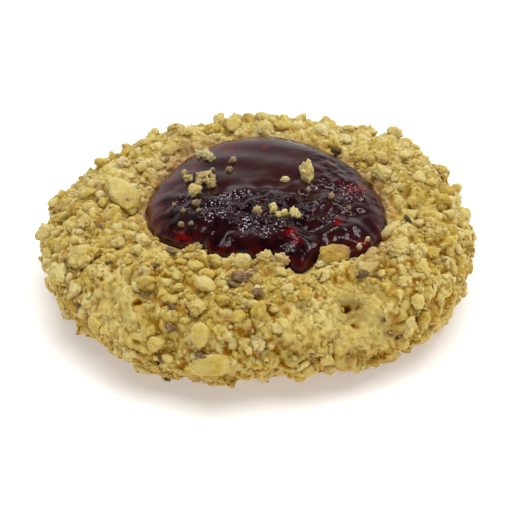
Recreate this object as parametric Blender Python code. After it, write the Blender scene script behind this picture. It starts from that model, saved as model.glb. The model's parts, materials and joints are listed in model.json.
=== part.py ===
"""A thumbprint cookie: a ball of dough rolled in chopped walnuts, pressed flat with a thumb
and filled with a mound of dark raspberry jam. Metres, +Z up. The origin is the middle of the
flat underside, -Y is the near side and +X the right.
"""

import math
import random

import bmesh
import bpy
from mathutils import Euler, Matrix, Vector, noise

MM = 0.001

# Dough: mean sizes of the skin that the nuts are stuck to.
COOKIE_RADIUS = 30.1 * MM
COOKIE_HEIGHT = 16.2 * MM
CREST_SHARE = 0.36  # the rim is highest this far from the jam's edge to the waist
BASE_RADIUS = 21.5 * MM  # flat spot that it stands on
WAIST_HEIGHT = 8.2 * MM  # the side bulges furthest at this height

# Jam: a mound in the thumbprint, a little off the cookie's middle.
JAM_RADIUS = 16.6 * MM
JAM_CENTRE = Vector((1.2 * MM, 0.9 * MM, 0.0))
JAM_RISE = 3.4 * MM  # above the lip of the thumbprint
MOUND_FLATNESS, EDGE_ROUNDNESS = 2.5, 0.46  # exponents of the mound's profile
LIP_DROP = 1.3 * MM  # from the rim's crest down to the lip
HOLLOW_DEPTH = 6.0 * MM  # from the lip down to the thumbprint's floor
GAP = 0.3 * MM  # kept between the jam and the dough

# Lobes round the edge: how many, how deep as a share, and the side they point to in degrees.
OUTLINE_WAVES = ((2, 0.045, 5), (3, 0.016, 30), (4, 0.011, 58))
HEIGHT_WAVES = ((1, 0.080, 38), (2, 0.026, 62))
JAM_WAVES = ((2, 0.101, -37), (3, 0.054, -36), (4, 0.013, 22))

# Where crumbs push the jam's edge in, or where it runs out below nought: azimuth and half width
# in degrees, depth.
JAM_BAYS = {
    "tan_lip": (-57, 11, 2.8 * MM),
    "front_wedge": (-103, 7, 1.2 * MM),
    "front_lumps": (-87, 8, 2.0 * MM),
    "drip": (-74, 6, -1.0 * MM),
    "brown_lip": (-132, 9, 1.3 * MM),
    "right_drip": (-40, 6, -0.8 * MM),
}
BAY_FADE = 6  # the higher, the closer to the edge the bays stay

# Places along the skin, from 0 at the thumbprint's lip to 1 at the edge of the flat base.
CREST, WAIST = 0.26, 0.64

# Lumps: size across, and height. The jam's far half has folds and its near half has pulp.
BROAD_LUMPS = (9.0 * MM, 0.75 * MM)
CRUMB_LUMPS = (2.4 * MM, 1.2 * MM)
JAM_FOLDS = (6.0 * MM, 0.2 * MM)
JAM_PULP = (3.6 * MM, 1.1 * MM)
JAM_SEEDS = (1.9 * MM, 0.6 * MM)
PULP_BLEND = 4.0 * MM  # distance over which folds give way to pulp
LUMP_FADE = 0.10  # share of the skin over which the lumps die out at the lip and the base
LOWEST_SHARE = 0.5  # no lump sinks lower than this share of the height it grows at

# Hollows in the skin, and a lump where the depth is below nought: azimuth in degrees, place
# along the skin, radius, depth.
DENTS = {
    "front_right": (-62, 0.46, 3.4 * MM, 1.1 * MM),
    "front": (-83, 0.58, 3.0 * MM, 1.0 * MM),
    "left": (-138, 0.46, 3.0 * MM, 0.8 * MM),
    "foot_left": (-142, 0.82, 7.0 * MM, 1.0 * MM),
    "foot_front": (-87, 0.88, 9.0 * MM, 2.2 * MM),
    "foot_right": (-60, 0.86, 7.0 * MM, 1.2 * MM),
    "rim_left": (141, 0.40, 5.0 * MM, 0.8 * MM),
    "rim_back": (64, 0.40, 5.0 * MM, 0.9 * MM),
    "rim_right": (40, 0.40, 5.0 * MM, -0.8 * MM),
}

# Where the dough shows bare of nuts: azimuth, place along the skin, radius.
BARE_SPOTS = {
    "front_right": (-61, 0.47, 5.5 * MM),
    "front_right_low": (-58, 0.60, 4.0 * MM),
    "front": (-78, 0.50, 3.5 * MM),
    "left": (-136, 0.47, 4.5 * MM),
    "left_low": (-130, 0.57, 4.0 * MM),
    "left_land": (-140, 0.18, 3.0 * MM),
}

# Facets.
AZIMUTHS = 72
LAND_RINGS, SHOULDER_RINGS, UNDERCUT_RINGS, HOLLOW_RINGS = 4, 6, 5, 5
JAM_TOP_RINGS = 8
SHARP_ANGLE = math.radians(35)

# Nuts: blunt cones, of which a little more than half stands clear of the dough.
NUT_SIDES = (4, 5, 5)
NUT_TAPER = 0.62
CORNER_JITTER = 0.11
PROUD = 0.12  # from the skin up to a piece's middle, as a share of its thickness
NUT_SEED, SHAPE_SEED = 7, 1
NUT_COUNT = 176
NUT_LENGTHS = (2.0 * MM, 3.5 * MM)
NUT_WIDTHS = (0.65, 0.95)  # shares of the length
NUT_HEIGHTS = (0.50, 0.80)
NUT_CROWDING = 0.55  # smallest distance between two, as a share of the sum of their lengths
NUT_TILT = 0.4
NUT_TRIES = 20000
NUT_PLACES = (0.03, 0.97)  # along the skin
FLOOR_CLEARANCE = 0.25 * MM
LIP_CLEARANCE = 0.45 * MM

# Pieces that catch the eye. Azimuth in degrees, place along the skin, then length, width and
# thickness in millimetres, and the turn in degrees of the length from the way round the cookie.
CHUNKS = {
    "wedge_left": (173, 0.17, 7.8, 4.8, 3.6, 25),
    "kernel_left": (-173, 0.35, 3.4, 2.0, 2.2, 0),
    "block_left": (-156, 0.42, 5.6, 4.6, 3.2, 20),
    "lump_left": (-157, 0.54, 4.0, 3.6, 2.6, 0),
    "cluster_front": (-110, 0.41, 3.4, 3.0, 2.4, 0),
    "yellow_front": (-103, 0.38, 3.0, 2.0, 1.8, 10),
    "oval_front": (-106, 0.52, 3.8, 2.6, 2.6, 90),
    "long_front": (-102, 0.64, 7.0, 3.4, 3.0, 10),
    "flake_foot": (-102, 0.82, 5.2, 2.6, 1.8, 0),
    "round_front": (-110, 0.32, 3.0, 2.8, 2.4, 0),
    "wedge_lip": (-102, 0.09, 3.0, 2.4, 3.0, 20),
    "lump_lip": (-90, 0.09, 3.0, 2.4, 3.2, 10),
    "block_lip": (-83, 0.09, 2.8, 2.3, 3.0, 0),
    "block_low": (-90, 0.53, 3.0, 2.6, 2.2, 80),
    "block_low_left": (-125, 0.66, 2.4, 2.2, 2.0, 30),
    "round_low_left": (-118, 0.59, 2.5, 2.2, 2.2, 0),
    "flake_rim": (-62, 0.10, 2.8, 2.0, 1.8, 10),
    "chunk_rim": (-67, 0.26, 3.0, 2.4, 2.2, 20),
    "tan_lip": (-56, 0.09, 5.4, 2.8, 4.2, -8),
    "brown_lip": (-132, 0.09, 2.8, 2.2, 2.4, 10),
    "long_right": (-23, 0.08, 4.8, 2.4, 2.4, -25),
    "cluster_right": (-37, 0.28, 4.2, 3.2, 2.8, 0),
    "dome_right": (-17, 0.35, 4.2, 3.8, 2.6, 0),
    "chunk_right": (16, 0.12, 3.4, 3.0, 2.6, 0),
    "round_right": (11, 0.31, 2.7, 2.5, 2.4, 0),
    "tan_right": (7, 0.42, 3.2, 2.0, 2.4, 90),
    "cluster_far_right": (20, 0.46, 3.0, 2.6, 2.4, 0),
    "round_back": (35, 0.41, 3.0, 2.6, 2.4, 0),
    "lump_back": (50, 0.40, 3.2, 2.8, 2.8, 0),
    "chunk_back": (53, 0.30, 2.6, 2.4, 2.2, 0),
    "brown_back": (111, 0.25, 3.2, 2.4, 2.2, 0),
    "flake_back": (133, 0.36, 3.6, 2.2, 1.8, -20),
    "pale_far_left": (149, 0.31, 3.0, 2.6, 2.2, 0),
}

# Crumbs that fell on the jam: x, y, length, width and height in millimetres, and turn in degrees.
JAM_CRUMBS = {
    "tall": (7.2, 2.8, 3.1, 2.5, 4.6, 75),
    "beside_tall": (4.1, 2.4, 1.6, 1.3, 1.3, 0),
    "middle": (2.3, -5.0, 1.6, 1.4, 2.0, 60),
    "middle_twin": (3.6, -6.2, 1.9, 1.5, 1.8, 20),
    "middle_right": (5.4, -6.6, 2.1, 1.7, 2.4, -50),
    "middle_left": (0.1, -5.5, 1.6, 1.4, 1.4, -20),
    "left": (-8.0, 4.5, 2.1, 1.7, 2.0, 30),
    "left_twin": (-6.5, 2.6, 1.9, 1.5, 1.8, 60),
    "left_near": (-9.0, 0.5, 2.4, 2.0, 2.4, 70),
    "left_far": (-10.1, 4.9, 1.6, 1.4, 1.4, 0),
    "upper_left": (-7.3, 10.8, 3.2, 1.9, 2.0, -69),
}

DOUGH_COLOUR, DOUGH_ROUGHNESS = (0.60, 0.44, 0.17), 0.75
JAM_COLOUR, JAM_ROUGHNESS = (0.085, 0.012, 0.016), 0.2


def swell(azimuth, waves):
    """1, more or less, by the lobes that stand out at this azimuth."""
    return 1 + sum(
        share * math.cos(lobes * (azimuth - math.radians(toward)))
        for lobes, share, toward in waves
    )


def round_the_cookie(azimuth, radius):
    reach = radius * swell(azimuth, OUTLINE_WAVES)
    return Vector((reach * math.cos(azimuth), reach * math.sin(azimuth), 0))


def jam_reach(azimuth, radius):
    """Distance from the jam's middle: lobes all the way in, bays near the edge alone."""
    reach = radius * swell(azimuth, JAM_WAVES)
    for toward, half_width, depth in JAM_BAYS.values():
        off = (math.degrees(azimuth) - toward + 180) % 360 - 180
        reach -= depth * math.exp(-((off / half_width) ** 2)) * (radius / JAM_RADIUS) ** BAY_FADE
    return reach


def round_the_jam(azimuth, radius):
    reach = jam_reach(azimuth, radius)
    return JAM_CENTRE + Vector((reach * math.cos(azimuth), reach * math.sin(azimuth), 0))


def jam_share(point):
    """How far out a point is, seen from above: 0 at the jam's middle and 1 at its outline."""
    x, y = point.x - JAM_CENTRE.x, point.y - JAM_CENTRE.y
    return math.hypot(x, y) / jam_reach(math.atan2(y, x), JAM_RADIUS)


def crest_height(azimuth):
    return COOKIE_HEIGHT * swell(azimuth, HEIGHT_WAVES)


def lip_height(azimuth):
    return crest_height(azimuth) - LIP_DROP


def smooth_skin(azimuth, along):
    """The skin before any lumps: land, rounded shoulder, and undercut down to the base."""
    top = crest_height(azimuth)
    lip = round_the_jam(azimuth, JAM_RADIUS)
    waist = round_the_cookie(azimuth, COOKIE_RADIUS)
    crest = lip.lerp(waist, CREST_SHARE)
    if along < CREST:
        share = along / CREST
        point = lip.lerp(crest, share)
        point.z = top - LIP_DROP * (1 - math.sin(share * math.pi / 2))
    elif along < WAIST:
        turn = (along - CREST) / (WAIST - CREST) * math.pi / 2
        point = crest.lerp(waist, math.sin(turn))
        point.z = WAIST_HEIGHT + (top - WAIST_HEIGHT) * math.cos(turn)
    else:
        turn = (along - WAIST) / (1 - WAIST) * math.pi / 2
        reach = BASE_RADIUS + (COOKIE_RADIUS - BASE_RADIUS) * math.cos(turn)
        point = round_the_cookie(azimuth, reach)
        point.z = WAIST_HEIGHT * (1 - math.sin(turn))
    return point


def skin_normal(azimuth, along):
    step = 0.01
    along = min(max(along, step), 1 - step)
    round_it = smooth_skin(azimuth + step, along) - smooth_skin(azimuth - step, along)
    down_it = smooth_skin(azimuth, along + step) - smooth_skin(azimuth, along - step)
    return down_it.cross(round_it).normalized()


def lump_height(point, lumps):
    across, height = lumps
    return height * noise.noise(point / across)


def dent_depth(point):
    depth = 0.0
    for azimuth, along, radius, deep in DENTS.values():
        middle = smooth_skin(math.radians(azimuth), along)
        depth += deep * math.exp(-(((point - middle).length / radius) ** 2))
    return depth


def skin(azimuth, along):
    """The dough's skin, with its lumps and dents."""
    point = smooth_skin(azimuth, along)
    fade = min(1.0, along / LUMP_FADE, (1 - along) / LUMP_FADE)
    lift = lump_height(point, BROAD_LUMPS) + lump_height(point, CRUMB_LUMPS) - dent_depth(point)
    lifted = point + skin_normal(azimuth, along) * lift * fade
    lifted.z = max(lifted.z, point.z * LOWEST_SHARE)
    return lifted


def hollow(azimuth, turn, inset=0.0):
    """The thumbprint's bowl: turn 0 is at its lip and a quarter turn at its floor."""
    point = round_the_jam(azimuth, (JAM_RADIUS - inset) * math.cos(turn))
    floor = COOKIE_HEIGHT - LIP_DROP - HOLLOW_DEPTH
    point.z = lip_height(azimuth) + (floor - lip_height(azimuth)) * math.sin(turn) + inset
    return point


def jam_relief(point):
    across, height = JAM_FOLDS
    folds = height * math.sin(2 * math.pi * (point.y + 0.4 * point.x) / across)
    pulp = lump_height(point, JAM_PULP) + lump_height(point, JAM_SEEDS)
    near = 0.5 - 0.5 * math.tanh((point.y - JAM_CENTRE.y) / PULP_BLEND)
    return folds + (pulp - folds) * near


def jam_top(azimuth, share):
    """The mound's upper face: share 0 is its middle, and 1 its edge, round like a drop's."""
    point = round_the_jam(azimuth, (JAM_RADIUS - GAP) * share)
    middle_height = COOKIE_HEIGHT - LIP_DROP
    edge_height = middle_height + (lip_height(azimuth) - middle_height) * share
    rise = JAM_RISE * (1 - share**MOUND_FLATNESS) ** EDGE_ROUNDNESS
    point.z = edge_height + GAP + rise + jam_relief(point) * (1 - share**4)
    return point


def object_from(name, bm, colour, roughness):
    """Makes a named object of flat triangles with its own material, and frees the bmesh."""
    bmesh.ops.triangulate(bm, faces=bm.faces)
    bmesh.ops.recalc_face_normals(bm, faces=bm.faces)
    mesh = bpy.data.meshes.new(name)
    bm.to_mesh(mesh)
    bm.free()
    mesh.shade_smooth()
    material = bpy.data.materials.new(name)
    material.use_nodes = True
    shader = material.node_tree.nodes["Principled BSDF"]
    shader.inputs["Base Color"].default_value = (*colour, 1)
    shader.inputs["Roughness"].default_value = roughness
    shader.inputs["Metallic"].default_value = 0.0
    mesh.materials.append(material)
    item = bpy.data.objects.new(name, mesh)
    bpy.context.scene.collection.objects.link(item)
    return item


def turned_body(rings, count, first_hub, last_hub=None):
    """Bridges rings of points into a closed body. Each end meets in a hub, or is a flat face."""
    bm = bmesh.new()
    azimuths = [2 * math.pi * i / count for i in range(count)]
    loops = [[bm.verts.new(ring(azimuth)) for azimuth in azimuths] for ring in rings]
    for upper, lower in zip(loops, loops[1:]):
        for i in range(count):
            j = (i + 1) % count
            bm.faces.new((upper[i], upper[j], lower[j], lower[i]))
    for loop, hub in ((loops[0], first_hub), (loops[-1], last_hub)):
        flat = bm.faces.new(loop)
        if hub is not None:
            bmesh.ops.poke(bm, faces=[flat])["verts"][0].co = hub
    return bm


def hollow_turns():
    return [math.pi / 2 * i / HOLLOW_RINGS for i in range(1, HOLLOW_RINGS)]


def make_dough():
    """The dough alone: thumbprint, rim, side and flat base."""
    places = [CREST * i / LAND_RINGS for i in range(LAND_RINGS)]
    places += [CREST + (WAIST - CREST) * i / SHOULDER_RINGS for i in range(SHOULDER_RINGS)]
    places += [WAIST + (1 - WAIST) * i / UNDERCUT_RINGS for i in range(UNDERCUT_RINGS + 1)]
    rings = [lambda azimuth, turn=turn: hollow(azimuth, turn) for turn in reversed(hollow_turns())]
    rings += [lambda azimuth, along=along: skin(azimuth, along) for along in places]
    bm = turned_body(rings, AZIMUTHS, first_hub=hollow(0, math.pi / 2))
    return object_from("cookie", bm, DOUGH_COLOUR, DOUGH_ROUGHNESS)


def make_jam():
    """The jam alone: underside in the thumbprint, drop-like edge, and the mound."""
    shares = [math.sin(math.pi / 2 * i / JAM_TOP_RINGS) for i in range(1, JAM_TOP_RINGS + 1)]
    rings = [lambda azimuth, share=share: jam_top(azimuth, share) for share in shares]
    rings += [
        lambda azimuth, turn=turn: hollow(azimuth, turn, inset=GAP) for turn in hollow_turns()
    ]
    floor = hollow(0, math.pi / 2, inset=GAP)
    bm = turned_body(rings, AZIMUTHS, first_hub=jam_top(0, 0), last_hub=floor)
    return object_from("jam", bm, JAM_COLOUR, JAM_ROUGHNESS)


def nut_piece(rng, size):
    """One chopped scrap of walnut, as a bmesh: a blunt cone, its corners knocked about."""
    bm = bmesh.new()
    bmesh.ops.create_cone(
        bm,
        cap_ends=True,
        segments=rng.choice(NUT_SIDES),
        radius1=0.5,
        radius2=0.5 * NUT_TAPER,
        depth=1,
    )
    for corner in bm.verts:
        nudge = Vector(rng.uniform(-CORNER_JITTER, CORNER_JITTER) for _ in range(3))
        corner.co = Vector((corner.co[i] + nudge[i]) * size[i] for i in range(3))
    bmesh.ops.triangulate(bm, faces=bm.faces)
    return bm


def seat_on_skin(azimuth, along, size, turn, tilt=(0.0, 0.0)):
    """Where a piece of this size lies on the skin, partly sunk in it."""
    normal = skin_normal(azimuth, along)
    onward = Vector((-math.sin(azimuth), math.cos(azimuth), 0))
    uphill = normal.cross(onward).normalized()
    onward = uphill.cross(normal)
    lie = Matrix((onward, uphill, normal)).transposed().to_4x4()
    spin = Matrix.Rotation(turn, 4, "Z") @ Euler((*tilt, 0)).to_matrix().to_4x4()
    place = skin(azimuth, along) + normal * size[2] * PROUD
    return Matrix.Translation(place) @ lie @ spin


def half_width(place, size, way):
    """How far a piece reaches from its middle in one direction, taken as an ellipsoid."""
    turned = place.to_3x3().transposed() @ way
    return 0.5 * math.hypot(*(turned[i] * size[i] for i in range(3)))


def clears(place, size):
    """True if the piece stays off the floor and out of the jam's place."""
    spot = place.translation
    inward = (JAM_CENTRE - Vector((spot.x, spot.y, 0))).normalized()
    nearest = spot + inward * half_width(place, size, inward)
    lowest = spot.z - half_width(place, size, Vector((0, 0, 1)))
    return lowest > FLOOR_CLEARANCE and jam_share(nearest) > 1 + LIP_CLEARANCE / JAM_RADIUS


def lies_bare(point):
    """True where no scattered nut lies."""
    return any(
        (point - smooth_skin(math.radians(azimuth), along)).length < radius
        for azimuth, along, radius in BARE_SPOTS.values()
    )


def chunk_places():
    """The pieces with a place of their own, each with its size."""
    laid = []
    for azimuth, along, *size, turn in CHUNKS.values():
        size = [side * MM for side in size]
        place = seat_on_skin(math.radians(azimuth), along, size, math.radians(turn))
        laid.append((place, size))
    return laid


def nut_places():
    """Chunks first, then pieces from large to small, each kept off those that lie already."""
    rng = random.Random(NUT_SEED)
    laid = chunk_places()
    small, large = NUT_LENGTHS
    lengths = [large + (small - large) * math.sqrt(i / NUT_COUNT) for i in range(NUT_COUNT)]
    for _ in range(NUT_TRIES):
        if not lengths:
            break
        length = lengths[0]
        size = (length, length * rng.uniform(*NUT_WIDTHS), length * rng.uniform(*NUT_HEIGHTS))
        azimuth, along = rng.uniform(0, 2 * math.pi), rng.uniform(*NUT_PLACES)
        tilt = (rng.uniform(-NUT_TILT, NUT_TILT), rng.uniform(-NUT_TILT, NUT_TILT))
        place = seat_on_skin(azimuth, along, size, rng.uniform(0, math.pi), tilt)
        crowded = any(
            (place.translation - other.translation).length < NUT_CROWDING * (length + reach[0])
            for other, reach in laid
        )
        if clears(place, size) and not crowded and not lies_bare(place.translation):
            laid.append((place, size))
            lengths.pop(0)
    print(len(laid), "nuts lie on the dough,", len(lengths), "found no room")
    return laid


def jam_crumb_places():
    """Crumbs of nut that lie sunk a little in the jam."""
    laid = []
    for x, y, *size, turn in JAM_CRUMBS.values():
        spot = Vector((x, y, 0)) * MM
        size = [side * MM for side in size]
        azimuth = math.atan2(spot.y - JAM_CENTRE.y, spot.x - JAM_CENTRE.x)
        spot.z = jam_top(azimuth, jam_share(spot)).z + size[2] * PROUD
        place = Matrix.Translation(spot) @ Matrix.Rotation(math.radians(turn), 4, "Z")
        laid.append((place, size))
    return laid


def lay_pieces(places, collection):
    """Puts a chopped scrap in each place, as an object of the collection."""
    rng = random.Random(SHAPE_SEED)
    for place, size in places:
        bm = nut_piece(rng, size)
        bm.transform(place)
        mesh = bpy.data.meshes.new("nut")
        bm.to_mesh(mesh)
        bm.free()
        collection.objects.link(bpy.data.objects.new("nut", mesh))


def fuse(body, pieces):
    """Joins the collection's pieces to the body with one union, then drops them."""
    union = body.modifiers.new("fuse nuts", "BOOLEAN")
    union.operation = "UNION"
    union.operand_type = "COLLECTION"
    union.collection = pieces
    bpy.context.view_layer.update()
    graph = bpy.context.evaluated_depsgraph_get()
    fused = bpy.data.meshes.new_from_object(body.evaluated_get(graph))
    body.modifiers.remove(union)
    body.data = fused
    for piece in list(pieces.objects):
        bpy.data.objects.remove(piece)
    bpy.data.collections.remove(pieces)
    keep_largest_shell(body.data)


def keep_largest_shell(mesh):
    """Drops loose scraps, and fills a hollow that the fusing sealed by dropping its skin."""
    bm = bmesh.new()
    bm.from_mesh(mesh)
    left = set(bm.verts)
    shells = []
    while left:
        shell, edge = set(), [left.pop()]
        while edge:
            corner = edge.pop()
            shell.add(corner)
            for link in corner.link_edges:
                other = link.other_vert(corner)
                if other in left:
                    left.discard(other)
                    edge.append(other)
        shells.append(shell)
    shells.sort(key=len)
    for scrap in shells[:-1]:
        bmesh.ops.delete(bm, geom=list(scrap), context="VERTS")
    print(len(shells) - 1, "scraps dropped")
    bm.to_mesh(mesh)
    bm.free()
    mesh.set_sharp_from_angle(angle=SHARP_ANGLE)


def main():
    for item in list(bpy.data.objects):
        bpy.data.objects.remove(item)
    cookie, jam = make_dough(), make_jam()
    for body, places in ((cookie, nut_places()), (jam, jam_crumb_places())):
        pieces = bpy.data.collections.new("pieces")
        bpy.context.scene.collection.children.link(pieces)
        lay_pieces(places, pieces)
        fuse(body, pieces)


main()
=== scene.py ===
import json
import random
from math import cos, hypot, pi, radians, sin, sqrt

import bmesh
import bpy
import numpy as np
from mathutils import Euler, Matrix, Vector, noise
from mathutils.bvhtree import BVHTree
from mathutils.kdtree import KDTree

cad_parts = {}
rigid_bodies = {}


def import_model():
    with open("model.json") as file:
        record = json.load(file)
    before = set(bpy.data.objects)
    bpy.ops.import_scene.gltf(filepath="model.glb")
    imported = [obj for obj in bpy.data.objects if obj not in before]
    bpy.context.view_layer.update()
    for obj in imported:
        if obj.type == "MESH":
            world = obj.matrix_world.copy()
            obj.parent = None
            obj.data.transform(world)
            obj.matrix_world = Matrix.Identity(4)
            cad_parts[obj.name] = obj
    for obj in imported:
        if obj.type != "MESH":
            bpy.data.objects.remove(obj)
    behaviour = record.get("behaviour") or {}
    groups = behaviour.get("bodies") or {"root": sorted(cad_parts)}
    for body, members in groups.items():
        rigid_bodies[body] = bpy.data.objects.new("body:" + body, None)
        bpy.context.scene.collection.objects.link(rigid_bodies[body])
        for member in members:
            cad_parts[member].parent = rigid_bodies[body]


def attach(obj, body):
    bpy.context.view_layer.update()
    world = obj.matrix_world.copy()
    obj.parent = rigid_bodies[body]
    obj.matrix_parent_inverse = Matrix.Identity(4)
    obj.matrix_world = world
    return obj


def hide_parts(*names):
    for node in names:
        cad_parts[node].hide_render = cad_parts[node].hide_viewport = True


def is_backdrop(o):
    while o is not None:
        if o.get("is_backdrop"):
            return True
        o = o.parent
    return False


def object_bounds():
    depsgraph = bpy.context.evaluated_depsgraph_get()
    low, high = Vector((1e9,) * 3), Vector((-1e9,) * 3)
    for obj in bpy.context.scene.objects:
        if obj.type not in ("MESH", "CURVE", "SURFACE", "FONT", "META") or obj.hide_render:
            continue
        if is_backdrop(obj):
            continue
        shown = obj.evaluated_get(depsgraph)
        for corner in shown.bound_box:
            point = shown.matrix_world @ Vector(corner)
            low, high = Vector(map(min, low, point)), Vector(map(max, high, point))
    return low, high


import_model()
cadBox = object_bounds()
mm = 0.001
up = Vector((0, 0, 1))
print("frame loaded")

# the dough: same sizes and lobes as the solid it stands for
cookie = {
    "radius": 30.1 * mm,
    "height": 16.2 * mm,
    "crestShare": 0.36,  # the rim is highest this far from the jam's edge to the waist
    "baseRadius": 21.5 * mm,
    "waistHeight": 8.2 * mm,
    "outlineLobes": ((2, 0.045, 5), (3, 0.016, 30), (4, 0.011, 58)),  # count, share, toward
    "heightLobes": ((1, 0.080, 38), (2, 0.026, 62)),
    "crest": 0.26,  # places along the skin, 0 at the thumbprint's lip and 1 at the flat base
    "waist": 0.64,
    "broadLumps": (9.0 * mm, 0.75 * mm),  # size across, height
    "crumbLumps": (2.4 * mm, 1.2 * mm),
    "lumpFade": 0.10,
    "lowestShare": 0.5,
    "meal": (0.9 * mm, 0.20 * mm),  # mealy grain of the dough itself
    "patches": (6.0 * mm, 1.0),  # how close and how strongly crumbly places change to plain ones
    "patchCover": (0.55, 0.06),  # crumbs on middling ground, and the least
    "bumpFade": (0.03, 0.08),  # bumps fade out this near the lip and the base
    "poreEdge": (0.8 * mm, 0.9),  # how ragged the pores are
    # what looks hollow, for the painted crevice shade: blurs to compare, depth and share of it, from
    # small gaps to broad valleys
    "gaps": ((4, 0, 0.22 * mm, 0.45), (16, 2, 0.28 * mm, 0.40), (50, 6, 0.30 * mm, 0.25)),
    "poreGap": 1.4 / mm,
    "azimuths": 780,
    "skinRings": 118,
    "hollowRings": 5,
    "footRings": (0.9, 0.6, 0.3),
}

# crumbs that the dough has swallowed, in three sizes: how many, smallest and largest reach, rise,
# and how much of it is left where the dough is bare
swallowed = {
    "lumps": (900, 0.9 * mm, 1.9 * mm, 0.42, 0.15),
    "scraps": (5200, 0.40 * mm, 0.95 * mm, 0.48, 0.5),
    "grains": (16000, 0.20 * mm, 0.42 * mm, 0.45, 1.0),
}

# the shape of such a bump: a blunt polygon, each unlike the next
bumpShape = {
    "corners": 6,
    "cornerReach": (0.6, 1.0),
    "unevenTurns": 0.4,
    "tilt": 0.35,
    "sharpness": 4,
    "smallOnes": 2,  # the higher, the more of them are small
}

# hollows in the skin, and a lump where the depth is below nought: azimuth, place along the skin,
# radius and depth in mm
dents = (
    (-62, 0.46, 3.4, 1.1), (-83, 0.58, 3.0, 1.0), (-138, 0.46, 3.0, 0.8), (-142, 0.82, 7.0, 1.0),
    (-87, 0.88, 9.0, 2.2), (-60, 0.86, 7.0, 1.2), (141, 0.40, 5.0, 0.8), (64, 0.40, 5.0, 0.9),
    (40, 0.40, 5.0, -0.8),
)

# small open pores in the crust, the same way
pores = (
    (-61, 0.44, 0.62, 0.65), (-61, 0.53, 0.3, 0.5), (-128, 0.45, 0.5, 0.4), (-69, 0.66, 0.4, 0.5),
    (-72, 0.36, 0.25, 0.4), (-50, 0.62, 0.3, 0.5),
)

# where the dough shows bare, without a depth
bareSpots = (
    (-61, 0.47, 5.5), (-58, 0.60, 4.0), (-78, 0.50, 3.5), (-136, 0.47, 4.5), (-130, 0.57, 4.0),
    (-140, 0.18, 3.0),
)

# hollows with an olive painted shade, with how dark it is for a depth
shadeSpots = (
    (-60, 0.45, 2.2, 0.8), (-94, 0.42, 1.8, 0.7), (-104, 0.58, 1.4, 0.9), (-128, 0.42, 1.5, 0.7),
    (-134, 0.36, 1.8, 0.4), (-80, 0.62, 2.2, 0.5), (-50, 0.60, 2.4, 0.5), (-62, 0.74, 2.6, 0.4),
    (-118, 0.80, 2.4, 0.6), (-93, 0.24, 1.4, 0.7), (-50, 0.30, 1.6, 0.4),
)

# where jam has stained the dough: azimuth, half width, reach past the jam in mm
stains = (
    (-45, 10, 3.2), (-82, 9, 2.4), (-128, 14, 1.5), (15, 40, 1.2), (133, 26, 1.9), (178, 16, 0.9),
)

jam = {
    "radius": 16.6 * mm,
    "centre": (1.2 * mm, 0.9 * mm),
    "rise": 3.4 * mm,
    "flatness": 2.5,
    "edgeRoundness": 0.46,
    "lipDrop": 1.3 * mm,
    "hollowDepth": 6.0 * mm,
    "gap": 0.3 * mm,
    "lobes": ((2, 0.101, -37), (3, 0.054, -36), (4, 0.013, 22)),
    "bays": {  # where crumbs push the edge in, or it bulges: azimuth, half width, depth
        "tanLip": (-57, 11, 2.8 * mm),
        "frontWedge": (-103, 7, 1.2 * mm),
        "frontLumps": (-87, 8, 2.0 * mm),
        "drip": (-74, 6, -1.0 * mm),
        "brownLip": (-132, 9, 1.3 * mm),
        "rightDrip": (-40, 6, -0.8 * mm),
    },
    "bayFade": 6,
    "folds": (6.0 * mm, 0.1 * mm),
    "foldSlant": 0.4,
    "pulp": (3.6 * mm, 1.1 * mm),
    "seeds": (1.9 * mm, 0.6 * mm),
    "pulpBlend": 4.0 * mm,
    "swells": (4.5 * mm, 0.12 * mm),  # on the smooth half
    "lumps": ((1.5 * mm, 0.24 * mm), (0.7 * mm, 0.13 * mm)),  # on the lumpy half
    # in mm, where the near half grows lumpy and how softly, and so the right end and the left
    "lumpyNear": (-0.5, 1.2),
    "lumpySlant": 0.10,
    "lumpyRight": (8.5, 1.5),
    "smoothLeft": (-11.5, 1.2),
    "calmNear": (0.60, 0.15, 0.8),  # share of the reach where the near slope calms down, and how much
    "faintSparkle": 0.4,
    "smoothRise": 0.12,  # how much of the seeds shows where it is smooth, and where they are crushed
    "crushedRise": 0.3,
    "raggedEdge": 2.2 * mm,
    "film": (2.4 * mm, 0.9),  # how cloudy the mauve film is
    "edgeStain": (0.7, 0.5 * mm),  # how strongly it stains the dough all round, and how far
    "azimuths": 360,
    "topRings": 190,
    "underRings": 12,
    "spread": (0.2 * mm, 0.7 * mm),  # how far its edge runs out over the lip, and how unevenly
}


def swell(azimuth, lobes):
    return 1 + sum(share * np.cos(count * (azimuth - radians(toward))) for count, share, toward in lobes)


def step(values, width):
    # 0 well below nought, 1 well above
    return 0.5 + 0.5 * np.tanh(values / width)


def degreesOff(azimuth, toward):
    return (np.degrees(azimuth) - toward + 180) % 360 - 180


def polar(azimuth, reach):
    return np.stack([reach * np.cos(azimuth), reach * np.sin(azimuth)], axis=-1)


def raised(flat, height):
    return np.concatenate([flat, height[..., None]], axis=-1)


def roundTheCookie(azimuth, radius):
    return polar(azimuth, radius * swell(azimuth, cookie["outlineLobes"]))


def jamReach(azimuth, radius):
    # lobes all the way in, bays near the edge alone
    reach = radius * swell(azimuth, jam["lobes"])
    inward = (radius / jam["radius"]) ** jam["bayFade"]
    for toward, halfWidth, depth in jam["bays"].values():
        reach = reach - depth * np.exp(-((degreesOff(azimuth, toward) / halfWidth) ** 2)) * inward
    return reach


def roundTheJam(azimuth, radius):
    return np.array(jam["centre"]) + polar(azimuth, jamReach(azimuth, radius))


def aroundJam(points):
    # azimuth round the jam's middle, and distance from it as a share of the jam's reach
    x, y = points[..., 0] - jam["centre"][0], points[..., 1] - jam["centre"][1]
    azimuth = np.arctan2(y, x)
    return azimuth, np.hypot(x, y) / jamReach(azimuth, jam["radius"])


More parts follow.
